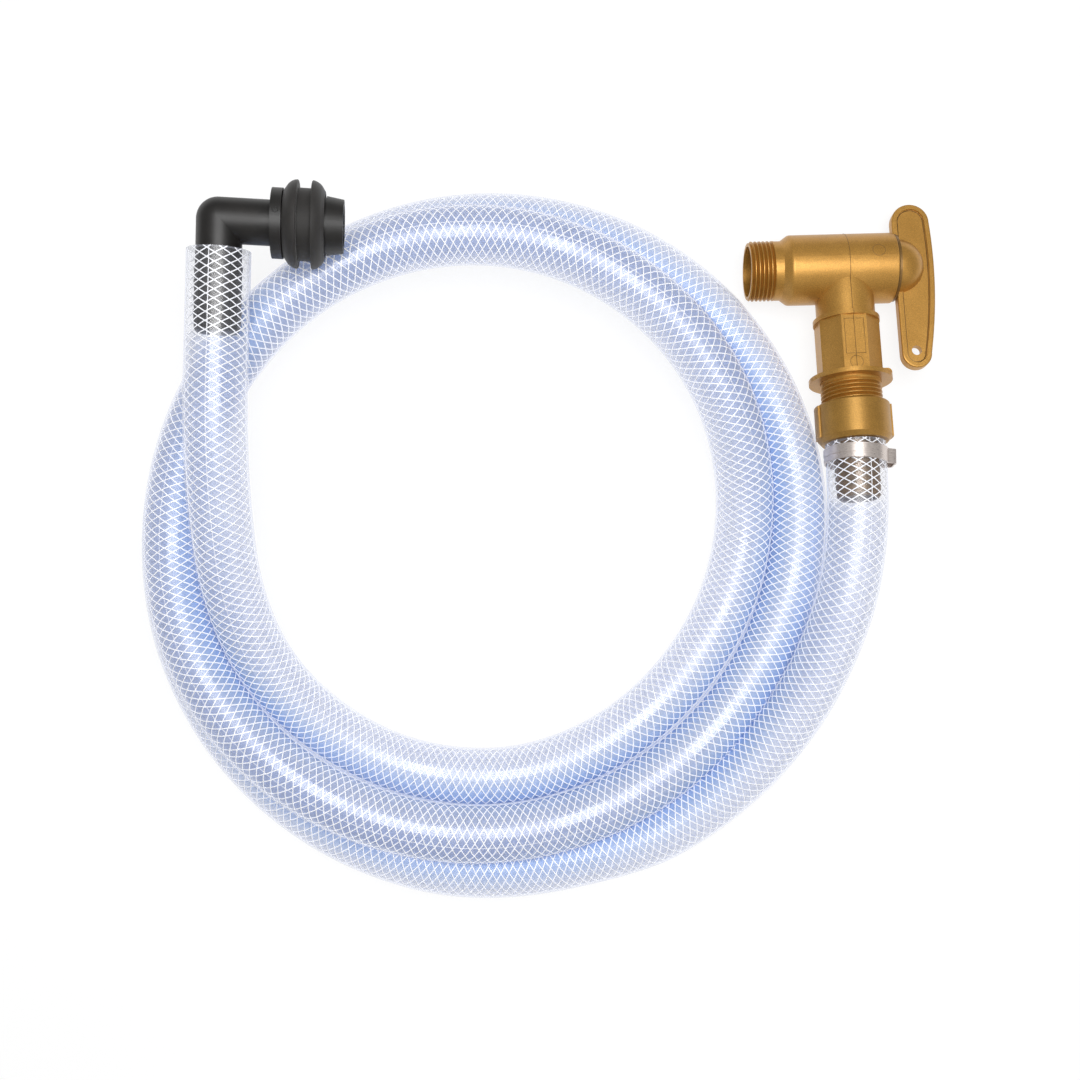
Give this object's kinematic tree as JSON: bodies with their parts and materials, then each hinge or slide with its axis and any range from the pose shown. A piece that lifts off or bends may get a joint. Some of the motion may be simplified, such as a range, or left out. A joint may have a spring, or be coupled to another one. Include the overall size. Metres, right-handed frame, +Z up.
{
  "type": "drain hose kit",
  "caption": "Coiled clear braided water hose with a quarter-turn lever tap on one end and an elbow with a panel grommet on the other.",
  "frame": {"origin": "middle of the fittings' footprint, on the surface that the kit lies on", "axes": "+X from the elbow towards the tap, along the tap's barrel; +Y away from the hose coil; +Z up"},
  "size_m": [0.3599, 0.308, 0.08],
  "materials": {
    "gold_plastic": "satin metallic gold",
    "plug_plastic": "moulded",
    "tail_plastic": "satin",
    "seal_rubber": "matte",
    "grommet_rubber": "matte",
    "black_plastic": "fine satin",
    "steel": "brushed",
    "clear_hose": "clear with white yarn braid"
  },
  "bodies": {
    "hose_and_fittings": {"tap_body": "gold_plastic", "retaining_ring": "gold_plastic", "tail_seal": "seal_rubber", "hose_tail": "tail_plastic", "hose_clamp": "steel", "elbow": "black_plastic", "hose_elbow_run": "clear_hose", "hose_tap_run": "clear_hose", "hose_coil": "clear_hose"},
    "lever": {"tap_handle": "gold_plastic", "valve_plug": "plug_plastic", "plug_seal_inner": "seal_rubber", "plug_seal_outer": "seal_rubber"},
    "nut": {"union_nut": "gold_plastic"},
    "grommet": {"rubber_grommet": "grommet_rubber"}
  },
  "joints": [
    {"name": "lever_turn", "type": "hinge", "parent": "hose_and_fittings", "child": "lever", "pos_m": [0.1186, 0.03643, 0.0155], "axis": [-1, 0, 0], "range_deg": [0, 90]},
    {"name": "nut_turn", "type": "hinge", "parent": "hose_and_fittings", "child": "nut", "pos_m": [0.1186, -0.02616, 0.02733], "axis": [0, -0.9826, 0.1857], "continuous": true},
    {"name": "grommet_turn", "type": "hinge", "parent": "hose_and_fittings", "child": "grommet", "pos_m": [-0.11323, 0.05075, 0.0618], "axis": [0.9912, -0.0519, -0.1219], "continuous": true}
  ]
}
